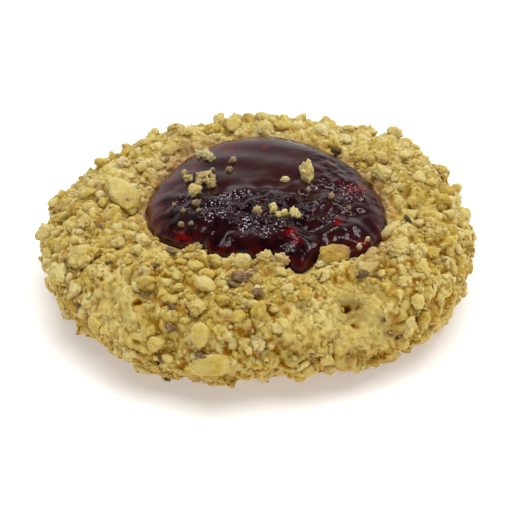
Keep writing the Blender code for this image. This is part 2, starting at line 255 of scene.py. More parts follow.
def crestHeight(azimuth):
    return cookie["height"] * swell(azimuth, cookie["heightLobes"])


def lipHeight(azimuth):
    return crestHeight(azimuth) - jam["lipDrop"]


def smoothSkin(azimuth, along):
    # land, rounded shoulder and undercut, for single numbers or whole grids
    azimuth, along = np.broadcast_arrays(np.asarray(azimuth, float), np.asarray(along, float))
    crestAt, waistAt = cookie["crest"], cookie["waist"]
    top, belly = crestHeight(azimuth), cookie["waistHeight"]
    lip = roundTheJam(azimuth, jam["radius"])
    waist = roundTheCookie(azimuth, cookie["radius"])
    crest = lip + (waist - lip) * cookie["crestShare"]
    land = np.clip(along / crestAt, 0, 1)
    shoulder = np.clip((along - crestAt) / (waistAt - crestAt), 0, 1) * pi / 2
    under = np.clip((along - waistAt) / (1 - waistAt), 0, 1) * pi / 2
    reach = cookie["baseRadius"] + (cookie["radius"] - cookie["baseRadius"]) * np.cos(under)
    flat = lip + (crest - lip) * land[..., None]
    slope = crest + (waist - crest) * np.sin(shoulder)[..., None]
    flat = np.where((along > crestAt)[..., None], slope, flat)
    flat = np.where((along > waistAt)[..., None], roundTheCookie(azimuth, reach), flat)
    height = top - jam["lipDrop"] * (1 - np.sin(land * pi / 2))
    height = np.where(along > crestAt, belly + (top - belly) * np.cos(shoulder), height)
    height = np.where(along > waistAt, belly * (1 - np.sin(under)), height)
    return raised(flat, height)


def skinNormal(azimuth, along):
    apart = 0.01
    along = np.clip(along, apart, 1 - apart)
    roundIt = smoothSkin(azimuth + apart, along) - smoothSkin(azimuth - apart, along)
    downIt = smoothSkin(azimuth, along + apart) - smoothSkin(azimuth, along - apart)
    normal = np.cross(downIt, roundIt)
    return normal / np.linalg.norm(normal, axis=-1, keepdims=True)


def lumpHeight(points, *lumps):
    # noise of one or more kinds, each a size across and a height
    total = 0
    for across, height in lumps:
        flat = (points / across).reshape(-1, 3).tolist()
        total = total + height * np.array([noise.noise(p) for p in flat]).reshape(points.shape[:-1])
    return total


def awayFrom(points, spots):
    # how far from each spot on the skin, as a share of its radius, and what else the spot says
    for azimuth, along, radius, *rest in spots:
        middle = smoothSkin(radians(azimuth), along)
        yield np.linalg.norm(points - middle, axis=-1) / (radius * mm), *rest


def bareness(points):
    return np.clip(sum(np.exp(-(away**4)) for (away,) in awayFrom(points, bareSpots)), 0, 1)


def skin(azimuth, along):
    point = smoothSkin(azimuth, along)
    fade = np.minimum(1.0, np.minimum(along, 1 - along) / cookie["lumpFade"])
    lift = lumpHeight(point, cookie["broadLumps"], cookie["crumbLumps"])
    lift = lift - sum(depth * mm * np.exp(-(away**2)) for away, depth in awayFrom(point, dents))
    lifted = point + skinNormal(azimuth, along) * (lift * fade)[..., None]
    lifted[..., 2] = np.maximum(lifted[..., 2], point[..., 2] * cookie["lowestShare"])
    return lifted


def hollow(azimuth, turn, inset=0.0):
    flat = roundTheJam(azimuth, (jam["radius"] - inset) * np.cos(turn))
    floor = cookie["height"] - jam["lipDrop"] - jam["hollowDepth"]
    return raised(flat, lipHeight(azimuth) + (floor - lipHeight(azimuth)) * np.sin(turn) + inset)


def meshOf(name, points, faces):
    mesh = bpy.data.meshes.new(name)
    mesh.from_pydata(points.tolist(), [], faces)
    mesh.shade_smooth()
    return mesh


def meshFromRings(name, rings, firstHub, lastHub):
    # bridges rings of points, and closes each end at a hub
    count = rings.shape[1]
    index = np.arange(len(rings) * count).reshape(len(rings), count)
    after = np.roll(index, -1, axis=1)
    faces = np.stack([index[:-1], after[:-1], after[1:], index[1:]], axis=-1).reshape(-1, 4).tolist()
    for hub, ring in ((index.size, index[0]), (index.size + 1, index[-1])):
        faces += [[int(a), int(b), hub] for a, b in zip(ring, np.roll(ring, -1))]
    mesh = meshOf(name, np.concatenate([rings.reshape(-1, 3), [firstHub, lastHub]]), faces)
    bm = bmesh.new()
    bm.from_mesh(mesh)
    bmesh.ops.recalc_face_normals(bm, faces=bm.faces)
    bm.to_mesh(mesh)
    bm.free()
    return mesh


def addObject(name, data):
    made = bpy.data.objects.new(name, data)
    bpy.context.scene.collection.objects.link(made)
    return made


def addPiece(name, mesh, material, stoodFor=None):
    piece = addObject(name, mesh)
    mesh.materials.clear()
    mesh.materials.append(material)
    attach(piece, "root")
    if stoodFor:
        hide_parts(stoodFor)
    print(name, "made:", len(mesh.polygons), "faces")


def pointsOf(mesh):
    flat = np.empty(len(mesh.vertices) * 3)
    mesh.vertices.foreach_get("co", flat)
    return flat.reshape(-1, 3)


def storeValues(mesh, name, values):
    layer = mesh.attributes.get(name) or mesh.attributes.new(name, "FLOAT", "POINT")
    values = np.broadcast_to(np.asarray(values, np.float32), len(mesh.vertices))
    layer.data.foreach_set("value", values.ravel())


def enabled(sockets):
    return [socket for socket in sockets if socket.enabled]


class Nodes:
    # adds nodes to a tree, and most calls answer with the socket that the node gives
    def __init__(self, tree):
        self.tree = tree

    def give(self, socket, value):
        if isinstance(value, bpy.types.NodeSocket):
            self.tree.links.new(value, socket)
        else:
            socket.default_value = value

    def add(self, kind, inputs=None, **settings):
        node = self.tree.nodes.new(kind)
        for name, value in settings.items():
            setattr(node, name, value)
        for name, value in (inputs or {}).items():
            self.give(node.inputs[name], value)
        return node

    def chosen(self, kind, values, **settings):
        # a node whose sockets depend on its settings
        node = self.add(kind, **settings)
        for socket, value in zip(enabled(node.inputs), values):
            self.give(socket, value)
        return node, enabled(node.outputs)[0]

    def math(self, operation, *values):
        return self.add("ShaderNodeMath", dict(enumerate(values)), operation=operation).outputs[0]

    def onVectors(self, operation, inputs):
        return self.add("ShaderNodeVectorMath", inputs, operation=operation).outputs[0]

    def axis(self, vector, name):
        return self.add("ShaderNodeSeparateXYZ", {"Vector": vector}).outputs[name]

    def mapRange(self, value, low, high, toLow=0.0, toHigh=1.0):
        inputs = {"Value": value, "From Min": low, "From Max": high, "To Min": toLow, "To Max": toHigh}
        return self.add("ShaderNodeMapRange", inputs).outputs[0]


# dough
def evenPlaces(count):
    # places along the skin that lie evenly far apart
    fine = np.linspace(0, 1, 400)
    steps = np.linalg.norm(np.diff(smoothSkin(-pi / 2, fine), axis=0), axis=1)
    reach = np.concatenate([[0], np.cumsum(steps)])
    return np.interp(np.linspace(0, reach[-1], count), reach, fine)


def swallow(points, normals, tree, settings, seed, weight):
    # height of one size of bump over a surface, and the tone of the bump on top
    count, smallest, largest, rise = settings
    corners, lean = bumpShape["corners"], bumpShape["tilt"]
    uneven, power = bumpShape["unevenTurns"], bumpShape["sharpness"]
    rng = np.random.default_rng(seed)
    flat, flatNormals = points.reshape(-1, 3), normals.reshape(-1, 3)
    height, tone = np.zeros(len(flat)), np.full(len(flat), 0.5)
    for index in rng.choice(len(flat), count, replace=False, p=weight.ravel() / weight.sum()):
        reach = smallest + (largest - smallest) * rng.random() ** bumpShape["smallOnes"]
        own = rng.random() ** 1.3  # a few more are pale than dark
        away = rng.uniform(*bumpShape["cornerReach"], corners)
        turns = rng.uniform(0, 2 * pi) + np.arange(corners) * 2 * pi / corners
        turns = turns + rng.uniform(-uneven, uneven, corners)
        tilt = rng.uniform(-lean, lean, 2)
        near = np.array([hit[1] for hit in tree.find_range(flat[index], reach)])
        offset = flat[near] - flat[index]
        across = np.cross(flatNormals[index], (0, 0.01, 1))
        across /= np.linalg.norm(across)
        uphill = np.cross(flatNormals[index], across)
        x, y = offset @ across / reach, offset @ uphill / reach
        facets = np.clip(np.cos(turns) * x[:, None] + np.sin(turns) * y[:, None], 0, None) / away
        rim = (facets**power).sum(axis=1) ** (1 / power)
        lift = reach * rise * np.clip(1 - rim**2, 0, 1) ** 0.5 * (1 + tilt[0] * x + tilt[1] * y)
        higher = lift > height[near]
        height[near[higher]] = lift[higher]
        tone[near[higher]] = own
    return height.reshape(points.shape[:-1]), tone.reshape(points.shape[:-1])


def treeOf(points):
    flat = points.reshape(-1, 3)
    tree = KDTree(len(flat))
    for index, point in enumerate(flat):
        tree.insert(point, index)
    tree.balance()
    return tree


def blur(field, times):
    # evens out a field over the skin, round the cookie and along it
    for _ in range(times):
        field = (field + np.roll(field, 1, axis=1) + np.roll(field, -1, axis=1)) / 3
        padded = np.pad(field, ((1, 1), (0, 0)), mode="edge")
        field = (padded[:-2] + padded[1:-1] + padded[2:]) / 3
    return field


def stainOf(points):
    azimuth, share = aroundJam(points)
    past = (share - 1) * jam["radius"]
    strength, reach = jam["edgeStain"]
    stain = strength * np.exp(-((past / reach) ** 2))
    for toward, halfWidth, spread in stains:
        off = degreesOff(azimuth, toward) / halfWidth
        stain = np.maximum(stain, np.exp(-(off**2) - (past / (spread * mm)) ** 2))
    return stain


def makeDoughMesh():
    azimuth = np.linspace(0, 2 * pi, cookie["azimuths"], endpoint=False)
    turns = np.linspace(pi / 2, 0, cookie["hollowRings"], endpoint=False)[1:]
    places = evenPlaces(cookie["skinRings"])
    bowl = np.stack([hollow(azimuth, turn) for turn in turns])
    side, even, normals = (np.stack([shape(azimuth, along) for along in places])
                           for shape in (skin, smoothSkin, skinNormal))
    tree = treeOf(side)
    weight = np.hypot(side[..., 0], side[..., 1])  # the grid is denser where the rings are short
    bare = bareness(side)
    middling, least = cookie["patchCover"]
    patchy = weight * np.clip(middling + lumpHeight(side, cookie["patches"]), least, 1)
    lift = np.abs(lumpHeight(side, cookie["meal"]))
    tone = np.full(lift.shape, 0.5)
    for seed, (kind, (*settings, kept)) in enumerate(swallowed.items()):
        spread = weight if kind == "grains" else patchy
        height, own = swallow(side, normals, tree, settings, seed, spread)
        lift += (height - height.mean()) * (1 - (1 - kept) * bare)
        tone = np.where(height > 0, 0.5 * tone + 0.5 * own, tone)
    ragged = 1 + lumpHeight(side, cookie["poreEdge"])
    pore = np.max([np.exp(-((away * ragged) ** 3)) * (depth * mm)
                   for away, depth in awayFrom(even, pores)], axis=0)
    lift -= pore
    lipFade, baseFade = cookie["bumpFade"]
    fade = np.minimum(1, np.minimum(places / lipFade, (1 - places) / baseFade))[:, None]
    low = side[..., 2] * cookie["lowestShare"]
    side = side + normals * (lift * fade)[..., None]
    side[..., 2] = np.maximum(side[..., 2], low)
    gap = sum(part * np.clip((blur(lift, wide) - blur(lift, narrow)) / depth, 0, 1)
              for wide, narrow, depth, part in cookie["gaps"])
    shade = np.max([dark * np.exp(-(away**2)) for away, dark in awayFrom(even, shadeSpots)], axis=0)
    foot = np.stack([side[-1] * (share, share, 0) for share in cookie["footRings"]])
    mesh = meshFromRings("dough", np.concatenate([bowl, side, foot]), hollow(0.0, pi / 2), (0, 0, 0))
    fields = {  # on the skin, and elsewhere
        # how hollow each point is, pores deepest, for the painted crevice shade
        "gap": (gap + pore * cookie["poreGap"], 0.0),
        "tone": (tone, 0.5),
        "bare": (bare, 1.0),
        "stain": (stainOf(side), 1.0),
        "shade": (shade, 0.0),
    }
    start = len(bowl) * cookie["azimuths"]
    for name, (values, rest) in fields.items():
        whole = np.full(len(mesh.vertices), rest)
        whole[start : start + values.size] = values.ravel()
        storeValues(mesh, name, whole)
    return mesh


# chopped walnuts
walnut = {
    "sides": 9,  # chipped faces of a piece, and of a scrap
    "scrapSides": 7,
    "flats": (0.58, 0.98),  # how near the middle they come
    "sharpness": 7.0,
    "nodules": (4, 12, 9, 16),  # round swellings that a piece may be made up of
    "noduleReach": (0.42, 0.65),
    "noduleBulk": (0.8, 1.25),
    "clustered": 5,  # this many nodules or more stand on a small core and have creases
    "cores": (0.58, 1.3),  # size of the core of a cluster, and of a plain piece
    "creaseWidth": 0.08,
    "grit": ((3.0, 0.15), (6.5, 0.12)),  # finer bumps: how close, how high
    "smoothBelow": 4,  # fewer nodules than this make a smooth piece
    "smoothGrit": 0.4,
    "smoothSides": (7, 0.68),  # its flats: how many, and how near the middle they may come
    "smoothSharpness": 0.6,
    "variants": 12,
    "seed": 7,
    "count": 176,
    "lengths": (2.0 * mm, 3.5 * mm),
    "widths": (0.65, 0.95),
    "heights": (0.50, 0.80),
    "places": (0.03, 0.97),
    "tones": (0.15, 0.60),
    "crowding": 0.55,
    "tilt": 0.4,
    "tries": 20000,
    "proud": 0.12,
    "floorClearance": 0.25 * mm,
    "lipClearance": 0.45 * mm,
    "flakeLift": 0.4 * mm,
    "scrapTones": (0.05, 0.85),
    "smallScraps": 1.8,  # the higher, the more scraps are small
}

# where scraps lie
coating = {
    "fromJam": 0.03,  # as a share of the jam's reach
    "fromFoot": (1.0 * mm, 1.5 * mm),  # none below the first, all this far above it
    "clusters": (4.5 * mm, 1.9),
    "middling": 0.55,
    "keptOff": 0.8,  # how much bare or stained dough keeps them off
    "farSide": (15 * mm, 0.5),  # where it starts, and how many lie there
}

# whole pieces that catch the eye: azimuth, place along the skin, length, width, thickness, turn,
# tone, how many nodules
chunks = {
    "wedgeLeft": (173, 0.17, 7.8, 4.8, 3.6, 25, 0.35, 2),
    "kernelLeft": (-173, 0.35, 3.4, 2.0, 2.2, 0, 0.30, 5),
    "blockLeft": (-156, 0.42, 5.6, 4.6, 3.2, 20, 0.40, 7),
    "lumpLeft": (-157, 0.54, 4.0, 3.6, 2.6, 0, 0.25, 10),
    "clusterFront": (-110, 0.41, 3.4, 3.0, 2.4, 0, 0.25, 16),
    "yellowFront": (-103, 0.38, 3.0, 2.0, 1.8, 10, 0.60, 5),
    "ovalFront": (-106, 0.52, 3.8, 2.6, 2.6, 90, 0.50, 0),
    "longFront": (-102, 0.64, 7.0, 3.4, 3.0, 10, 0.45, 3),
    "flakeFoot": (-102, 0.82, 5.2, 2.6, 1.8, 0, 0.30, 6),
    "roundFront": (-110, 0.32, 3.0, 2.8, 2.4, 0, 0.15, 3),
    "wedgeLip": (-102, 0.09, 3.0, 2.4, 3.0, 20, 0.30, 2),
    "lumpLip": (-90, 0.09, 3.0, 2.4, 3.2, 10, 0.25, 10),
    "blockLip": (-83, 0.09, 2.8, 2.3, 3.0, 0, 0.05, 7),
    "blockLow": (-90, 0.53, 3.0, 2.6, 2.2, 80, 0.15, 7),
    "blockLowLeft": (-125, 0.66, 2.4, 2.2, 2.0, 30, 0.10, 7),
    "roundLowLeft": (-118, 0.59, 2.5, 2.2, 2.2, 0, 0.30, 3),
    "flakeRim": (-62, 0.10, 2.8, 2.0, 1.8, 10, 0.15, 6),
    "chunkRim": (-67, 0.26, 3.0, 2.4, 2.2, 20, 0.30, 8),
    "tanLip": (-56, 0.09, 5.4, 2.8, 4.2, -8, 0.76, 0),
    "brownLip": (-132, 0.09, 2.8, 2.2, 2.4, 10, 0.72, 5),
    "longRight": (-23, 0.08, 4.8, 2.4, 2.4, -25, 0.20, 3),
    "clusterRight": (-37, 0.28, 4.2, 3.2, 2.8, 0, 0.25, 16),
    "domeRight": (-17, 0.35, 4.2, 3.8, 2.6, 0, 0.30, 10),
    "chunkRight": (16, 0.12, 3.4, 3.0, 2.6, 0, 0.25, 8),
    "roundRight": (11, 0.31, 2.7, 2.5, 2.4, 0, 0.25, 3),
    "tanRight": (7, 0.42, 3.2, 2.0, 2.4, 90, 0.80, 0),
    "clusterFarRight": (20, 0.46, 3.0, 2.6, 2.4, 0, 0.35, 16),
    "roundBack": (35, 0.41, 3.0, 2.6, 2.4, 0, 0.60, 3),
    "lumpBack": (50, 0.40, 3.2, 2.8, 2.8, 0, 0.35, 10),
    "chunkBack": (53, 0.30, 2.6, 2.4, 2.2, 0, 0.30, 8),
    "brownBack": (111, 0.25, 3.2, 2.4, 2.2, 0, 0.72, 5),
    "flakeBack": (133, 0.36, 3.6, 2.2, 1.8, -20, 0.35, 6),
    "paleFarLeft": (149, 0.31, 3.0, 2.6, 2.2, 0, 0.15, 7),
}

# flakes of walnut skin, dark to mauve: azimuth, place along the skin, length, width, thickness,
# turn, tone
flakes = {
    "mauveFront": (-98, 0.27, 3.7, 2.3, 1.2, 10, 1.0),
    "mauveFrontInner": (-94, 0.26, 2.4, 1.5, 0.9, 70, 0.9),
    "mauveFrontOuter": (-101, 0.30, 2.6, 1.0, 0.9, -25, 0.7),
    "mauveFrontLow": (-91, 0.335, 2.0, 1.4, 0.9, 0, 0.9),
    "mauveLeft": (-115, 0.51, 1.7, 1.3, 0.7, 0, 0.8),
    "leftRim": (-134, 0.20, 2.6, 1.3, 0.8, 0, 0.7),
    "grey": (-116, 0.44, 1.5, 1.0, 0.8, 0, 0.5),
    "blackFoot": (-117, 0.80, 1.7, 1.3, 0.8, 0, 0.0),
    "back": (47, 0.07, 2.0, 1.5, 1.3, 0, 0.1),
    "left": (151, 0.19, 2.1, 0.7, 0.7, 90, 0.15),
    "right": (-18, 0.21, 2.5, 0.7, 0.7, 40, 0.05),
    "middle": (-53, 0.33, 2.3, 0.9, 0.7, 0, 0.15),
    "speck": (-53, 0.54, 0.9, 0.7, 0.6, 0, 0.05),
    "edge": (-13, 0.69, 1.7, 0.9, 0.8, 90, 0.05),
    "belowOval": (-105, 0.60, 1.8, 1.2, 0.8, 0, 0.6),
}

# crumbs that fell on the jam: x, y, length, width, height, turn, tone, glaze
jamCrumbs = {
    "tall": (7.2, 2.8, 3.1, 2.5, 4.6, 75, 0.30, 0.0),
    "besideTall": (4.1, 2.4, 1.6, 1.3, 1.3, 0, 0.15, 0.0),
    "middle": (2.3, -5.0, 1.6, 1.4, 2.0, 60, 0.20, 0.0),
    "middleTwin": (3.6, -6.2, 1.9, 1.5, 1.8, 20, 0.20, 0.0),
    "middleRight": (5.4, -6.6, 2.1, 1.7, 2.4, -50, 0.15, 0.0),
    "middleLeft": (0.1, -5.5, 1.6, 1.4, 1.4, -20, 0.35, 0.5),
    "left": (-8.0, 4.5, 2.1, 1.7, 2.0, 30, 0.40, 0.4),
    "leftTwin": (-6.5, 2.6, 1.9, 1.5, 1.8, 60, 0.45, 0.5),
    "leftNear": (-9.0, 0.5, 2.4, 2.0, 2.4, 70, 0.25, 0.1),
    "leftFar": (-10.1, 4.9, 1.6, 1.4, 1.4, 0, 0.40, 0.4),
    "upperLeft": (-7.3, 10.8, 3.2, 1.9, 2.0, -69, 0.30, 0.3),
}

# smaller ones, sunk in and more or less glazed: x, y, size, tone, glaze
jamScraps = (
    (-7.9, 12.6, 1.2, 0.3, 0.3), (-10.7, 7.2, 1.1, 0.3, 0.4), (-6.8, 9.4, 0.9, 0.4, 0.5),
    (-7.2, 3.7, 1.7, 0.35, 0.35), (-8.5, 3.3, 1.4, 0.40, 0.40), (-7.0, 5.1, 1.3, 0.35, 0.45),
    (-9.3, 2.3, 1.5, 0.30, 0.25), (-8.5, 12.0, 1.7, 0.30, 0.40), (-6.6, 9.9, 1.5, 0.35, 0.45),
    (-3.4, 8.2, 1.3, 0.4, 0.75), (-4.0, 5.9, 1.2, 0.5, 0.8), (-6.5, 6.5, 0.9, 0.5, 0.8),
    (-6.4, 3.9, 1.2, 0.5, 0.6), (-8.7, -2.3, 1.4, 0.5, 0.85), (-10.6, -3.6, 0.9, 0.5, 0.85),
    (-12.0, -1.0, 0.8, 0.5, 0.85), (-10.8, -6.1, 1.1, 0.4, 0.80), (-9.4, -6.5, 0.9, 0.5, 0.90),
    (-8.3, -4.2, 1.0, 0.4, 0.85), (10.7, -2.6, 1.1, 0.5, 0.8), (7.4, -0.4, 0.9, 0.5, 0.85),
    (13.2, -4.3, 0.7, 0.5, 0.85), (-8.6, -9.2, 1.4, 0.5, 0.5), (-8.4, -9.7, 1.6, 0.4, 0.35),
    (-7.2, -10.6, 1.2, 0.4, 0.3), (14.4, -11.8, 1.0, 0.2, 0.15), (15.7, -10.4, 1.0, 0.2, 0.15),
)


def ballPoints(fineness):
    bm = bmesh.new()
    bmesh.ops.create_icosphere(bm, subdivisions=fineness, radius=1)
    points = np.array([v.co for v in bm.verts])
    faces = np.array([[v.index for v in f.verts] for f in bm.faces])
    bm.free()
    return points / np.linalg.norm(points, axis=1)[:, None], faces


def chipStone(rng, fineness, nodules, sides=walnut["sides"]):
    # a cluster of round nodules with flats broken off it, fitted into a unit cube, and how deep
    # in a crease each corner lies
    def anyWay():
        return Vector((rng.gauss(0, 1), rng.gauss(0, 1), rng.gauss(0, 1))).normalized()

    ball, faces = ballPoints(fineness)
    smooth = nodules < walnut["smoothBelow"] and fineness > 3
    clustered = nodules >= walnut["clustered"]
    nearest, farthest = walnut["flats"]
    power, grit = walnut["sharpness"], 1
    clusterCore, core = walnut["cores"]
    if smooth:
        sides, nearest = walnut["smoothSides"]
        power, grit, core = power * walnut["smoothSharpness"], walnut["smoothGrit"], 1.0
    swellings = [np.full(len(ball), clusterCore if clustered else core)]
    for _ in range(nodules):
        reach = rng.uniform(*walnut["noduleReach"])
        bulk = rng.uniform(*walnut["noduleBulk"]) / sqrt(nodules)
        toward = ball @ np.array(anyWay() * reach)
        inside = bulk**2 - reach**2 + toward**2
        swellings.append(np.where(inside > 0, toward + np.sqrt(np.maximum(inside, 0)), 0))
    swellings = np.sort(np.array(swellings), axis=0)
    creases = np.zeros(len(ball))
    if clustered:
        creases = np.clip(1 - (swellings[-1] - swellings[-2]) / walnut["creaseWidth"], 0, 1)
    cuts = swellings[-1] ** -power
    for _ in range(sides):
        toward = np.clip(ball @ np.array(anyWay()), 0, 1)
        cuts = cuts + (toward / rng.uniform(nearest, farthest)) ** power
    radius = cuts ** (-1 / power)
    shift = rng.uniform(0, 100)
    for close, high in walnut["grit"][: fineness - 2]:
        bumps = np.array([noise.noise(p) for p in (ball * close + shift).tolist()])
        radius = radius * (1 + high * 2 * grit * bumps)
    points = ball * radius[:, None]
    points = points - (points.max(0) + points.min(0)) / 2
    return points / (points.max(0) - points.min(0)), faces, creases


def seatOnSkin(azimuth, along, size, turn, tilt=(0.0, 0.0)):
    normal = Vector(skinNormal(azimuth, along))
    onward = Vector((-sin(azimuth), cos(azimuth), 0))
    uphill = normal.cross(onward).normalized()
    onward = uphill.cross(normal)
    lie = Matrix((onward, uphill, normal)).transposed().to_4x4()
    spin = Matrix.Rotation(turn, 4, "Z") @ Euler((*tilt, 0)).to_matrix().to_4x4()
    place = Vector(skin(azimuth, along)) + normal * size[2] * walnut["proud"]
    return Matrix.Translation(place) @ lie @ spin


def halfExtent(place, size, way):
    turned = place.to_3x3().transposed() @ way
    return 0.5 * hypot(*(turned[i] * size[i] for i in range(3)))


def clears(place, size):
    spot = place.translation
    inward = (Vector((*jam["centre"], 0)) - Vector((spot.x, spot.y, 0))).normalized()
    nearest = spot + inward * halfExtent(place, size, inward)
    lowest = spot.z - halfExtent(place, size, up)
    room = 1 + walnut["lipClearance"] / jam["radius"]
    return lowest > walnut["floorClearance"] and aroundJam(np.array(nearest))[1] > room


def nutPlaces():
    # chunks first, then pieces from large to small, each kept off those that lie already
    rng = random.Random(walnut["seed"])
    laid = []
    for azimuth, along, *size, turn, tone, nodules in chunks.values():
        size = [side * mm for side in size]
        place = seatOnSkin(radians(azimuth), along, size, radians(turn))
        laid.append((place, size, tone, nodules))
    small, large = walnut["lengths"]
    count, tilt = walnut["count"], walnut["tilt"]
    lengths = [large + (small - large) * sqrt(i / count) for i in range(count)]
    for _ in range(walnut["tries"]):
        if not lengths:
            break
        length = lengths[0]
        size = (length, length * rng.uniform(*walnut["widths"]), length * rng.uniform(*walnut["heights"]))
        azimuth, along = rng.uniform(0, 2 * pi), rng.uniform(*walnut["places"])
        lean = (rng.uniform(-tilt, tilt), rng.uniform(-tilt, tilt))
        place = seatOnSkin(azimuth, along, size, rng.uniform(0, pi), lean)
        spot = place.translation
        crowded = any(
            (spot - other.translation).length < walnut["crowding"] * (length + reach[0])
            for other, reach, *_ in laid
        )
        if crowded or not clears(place, size):
            continue
        if all(away >= 1 for (away,) in awayFrom(np.array(spot), bareSpots)):
            laid.append((place, size, None, walnut["nodules"][len(laid) % 4]))
            lengths.pop(0)
    return laid


def joinStones(name, stones):
    # one mesh of many stones, each remembering its own tone and how much jam is on it
    verts, faces, start = [], [], 0
    values = {"tone": [], "crease": [], "glaze": []}
    for (points, stoneFaces, creases), place, size, tone, glaze in stones:
        matrix = np.array(place)
        verts.append((points * size) @ matrix[:3, :3].T + matrix[:3, 3])
        faces.append(stoneFaces + start)
        start += len(points)
        for kind, value in (("tone", tone), ("crease", creases), ("glaze", glaze)):
            values[kind].append(value + np.zeros(len(points)))
    mesh = meshOf(name, np.concatenate(verts), np.concatenate(faces).tolist())
    for kind, parts in values.items():
        storeValues(mesh, kind, np.concatenate(parts))
    return mesh


scatterInputs = ("Spacing", "Density", "Smallest", "Largest", "Sink", "Tilt")


def makeScatterTree():
    # strews a collection of small scraps over the dough
    tree = bpy.data.node_groups.new("scraps on dough", "GeometryNodeTree")
    tree.is_modifier = True
    sockets = {"Dough": "Geometry", "Scraps": "Collection", "Seed": "Int", "Finish": "Material"}
    sockets |= dict.fromkeys(scatterInputs, "Float")
    for name, kind in sockets.items():
        tree.interface.new_socket(name, in_out="INPUT", socket_type="NodeSocket" + kind)
    tree.interface.new_socket("Geometry", in_out="OUTPUT", socket_type="NodeSocketGeometry")
    nodes = Nodes(tree)
    given = nodes.add("NodeGroupInput").outputs

    def drawn(low, high, extra, kind="FLOAT"):
        node, value = nodes.chosen("FunctionNodeRandomValue", (low, high), data_type=kind)
        nodes.give(node.inputs["Seed"], nodes.math("ADD", given["Seed"], extra))
        return value

    def onGeometry(kind, inputs, **settings):
        return nodes.add("GeometryNode" + kind, inputs, **settings).outputs[0]

    coat = onGeometry("InputNamedAttribute", {"Name": "coat"})
    spots = nodes.add("GeometryNodeDistributePointsOnFaces", {
        "Mesh": given["Dough"], "Distance Min": given["Spacing"], "Density Max": given["Density"],
        "Density Factor": coat, "Seed": given["Seed"],
    }, distribute_method="POISSON").outputs
    draw = nodes.math("POWER", drawn(0.0, 1.0, 1.0), walnut["smallScraps"])
    size = nodes.mapRange(draw, 0.0, 1.0, given["Smallest"], given["Largest"])
    depth = nodes.math("MULTIPLY", size, given["Sink"])
    lift = nodes.onVectors("SCALE", {0: spots["Normal"], "Scale": depth})
    laid = onGeometry("SetPosition", {"Geometry": spots["Points"], "Offset": lift})
    scraps = onGeometry("CollectionInfo", {
        "Collection": given["Scraps"], "Separate Children": True, "Reset Children": True,
    })
    laid = onGeometry("InstanceOnPoints", {
        "Points": laid, "Instance": scraps, "Pick Instance": True, "Scale": size,
        "Instance Index": drawn(0, 10000, 2.0, "INT"), "Rotation": spots["Rotation"],
    })
    tilt = given["Tilt"]
    back = nodes.math("MULTIPLY", tilt, -1.0)
    low, high = (nodes.add("ShaderNodeCombineXYZ", dict(zip("XYZ", angles))).outputs[0]
                 for angles in ((back, back, 0.0), (tilt, tilt, 2 * pi)))
    lean = drawn(low, high, 3.0, "FLOAT_VECTOR")
    laid = onGeometry("RotateInstances", {"Instances": laid, "Rotation": lean, "Local Space": True})
    tone = {"Geometry": laid, "Name": "tone", "Value": drawn(*walnut["scrapTones"], 4.0)}
    laid = onGeometry("StoreNamedAttribute", tone, domain="INSTANCE")
    laid = onGeometry("RealizeInstances", {"Geometry": laid})
    laid = onGeometry("SetMaterial", {"Geometry": laid, "Material": given["Finish"]})
    nodes.add("NodeGroupOutput", {"Geometry": laid})
    return tree


def makeScraps(name, fineness, nodules, seed, stretch):
    # a collection of unlike unit scraps for the tree to pick from
    rng = random.Random(seed)
    scraps = bpy.data.collections.new(name)
    long, wide, thick = stretch
    for i in range(walnut["variants"]):
        points, faces, creases = chipStone(rng, fineness, nodules[i % len(nodules)], walnut["scrapSides"])
        size = np.array((long, wide * rng.uniform(0.8, 1.1), thick * rng.uniform(0.8, 1.2)))
        mesh = meshOf(f"{name}{i}", points * size, faces.tolist())
        storeValues(mesh, "crease", creases)
        scraps.objects.link(bpy.data.objects.new(f"{name}{i}", mesh))
    return scraps


def strew(name, doughMesh, tree, given):
    carrier = addObject(name, doughMesh)
    modifier = carrier.modifiers.new("strew", "NODES")
    modifier.node_group = tree
    for item in tree.interface.items_tree:
        if item.in_out == "INPUT" and item.name in given:
            modifier[item.identifier] = given[item.name]
    bpy.context.view_layer.update()
    graph = bpy.context.evaluated_depsgraph_get()
    mesh = bpy.data.meshes.new_from_object(carrier.evaluated_get(graph))
    bpy.data.objects.remove(carrier)
    mesh.name = name
    return mesh


# jam
def jamTop(azimuth, share):
    azimuth, share = np.broadcast_arrays(np.asarray(azimuth, float), np.asarray(share, float))
    flat = roundTheJam(azimuth, (jam["radius"] - jam["gap"]) * share)
    middle = cookie["height"] - jam["lipDrop"]
    height = middle + (lipHeight(azimuth) - middle) * share
    rise = jam["rise"] * np.clip(1 - share ** jam["flatness"], 0, 1) ** jam["edgeRoundness"]
    points = raised(flat, height + jam["gap"] + rise)
    # folds on the far half and pulp on the near half
    across, high = jam["folds"]
    folds = high * np.sin(2 * pi * (points[..., 1] + jam["foldSlant"] * points[..., 0]) / across)
    near = step(jam["centre"][1] - points[..., 1], jam["pulpBlend"])
    relief = folds + (lumpHeight(points, jam["pulp"], jam["seeds"]) - folds) * near
    points[..., 2] += relief * (1 - share**4)
    return points


# what shows in the jam: how many, smallest and largest reach, rise, and how much of it stands
# proud where no seeds are crushed
inTheJam = {
    "drupelets": (90, 1.0 * mm, 1.7 * mm, 0.30, 0.35),
    "seeds": (420, 0.5 * mm, 0.85 * mm, 0.42, 0.15),
    "pips": (1500, 0.25 * mm, 0.45 * mm, 0.40, 0.05),
}

